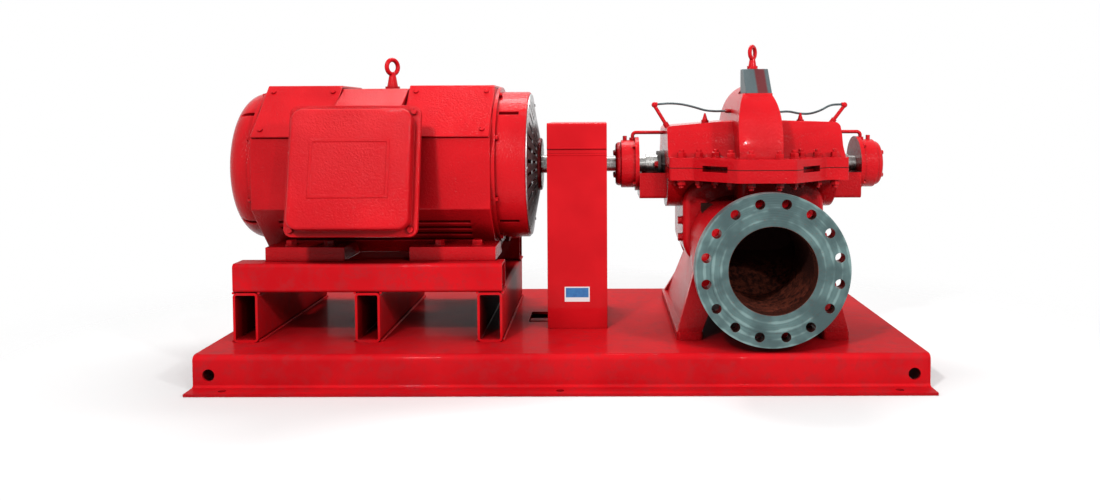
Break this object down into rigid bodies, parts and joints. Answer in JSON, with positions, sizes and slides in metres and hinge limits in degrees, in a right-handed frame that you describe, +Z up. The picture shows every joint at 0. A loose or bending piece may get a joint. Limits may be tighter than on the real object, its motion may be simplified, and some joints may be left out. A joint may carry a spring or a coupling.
{
  "type": "electric fire pump set",
  "caption": "Horizontal split-case water pump driven by a foot-mounted motor through a guarded coupling, on a formed steel base with flanged suction and discharge.",
  "frame": {"origin": "Centre of the base footprint, on the floor.", "axes": "+X along the base from the motor to the pump, +Y from the suction side to the discharge side, +Z up."},
  "size_m": [2.107, 1.056, 1.006],
  "materials": {
    "painted_base": "gloss red enamel on plate",
    "painted_motor": "gloss red enamel on rough castings",
    "painted_guard": "gloss red enamel on sheet",
    "painted_pump": "gloss red enamel on castings",
    "machined_iron": "machined, unpainted",
    "grille_metal": "bare pressed sheet",
    "shaft_steel": "turned",
    "coupling_iron": "turned",
    "coupling_rubber": "moulded",
    "gland_iron": "cast, part painted",
    "tube_metal": "drawn tube"
  },
  "bodies": {
    "pump_set": {"base_deck": "painted_base", "base_end_plates": "painted_base", "base_cross_members": "painted_base", "base_stiffener": "painted_base", "stand_tube_left": "painted_base", "stand_tube_middle": "painted_base", "stand_tube_right": "painted_base", "stand_rail_front": "painted_base", "stand_rail_rear": "painted_base", "motor_frame": "painted_motor", "motor_foot_left": "painted_motor", "motor_foot_right": "painted_motor", "motor_end_shield_left": "painted_motor", "motor_end_shield_right": "painted_motor", "motor_bearing_cap": "painted_motor", "motor_vent_grille": "grille_metal", "motor_hood_left": "painted_motor", "motor_hood_right": "painted_motor", "terminal_box": "painted_motor", "terminal_box_cover": "painted_motor", "motor_lifting_eye": "painted_motor", "guard_body": "painted_guard", "guard_hood": "painted_guard", "pump_upper_casing": "painted_pump", "pump_lower_casing": "painted_pump", "pump_foot_left": "painted_pump", "pump_foot_right": "painted_pump", "suction_flange": "machined_iron", "discharge_flange": "machined_iron", "bearing_housing_left": "painted_pump", "bearing_housing_right": "painted_pump", "bearing_cap_left": "painted_pump", "bearing_cap_right": "painted_pump", "packing_gland_left": "gland_iron", "packing_gland_right": "gland_iron", "bearing_tie_bars": "painted_pump", "vent_block": "machined_iron", "pump_lifting_eye": "painted_pump", "seal_tube_left": "tube_metal", "seal_tube_right": "tube_metal", "seal_fittings_left": "painted_pump", "seal_fittings_right": "painted_pump", "casing_plugs": "painted_pump"},
    "shaft_line": {"motor_shaft": "shaft_steel", "coupling_hub_motor": "coupling_iron", "coupling_element": "coupling_rubber", "coupling_hub_pump": "coupling_iron", "pump_shaft": "shaft_steel"}
  },
  "joints": [
    {"name": "shaft_spin", "type": "hinge", "parent": "pump_set", "child": "shaft_line", "pos_m": [0.041, 0, 0.6174], "axis": [1, 0, 0], "continuous": true}
  ]
}
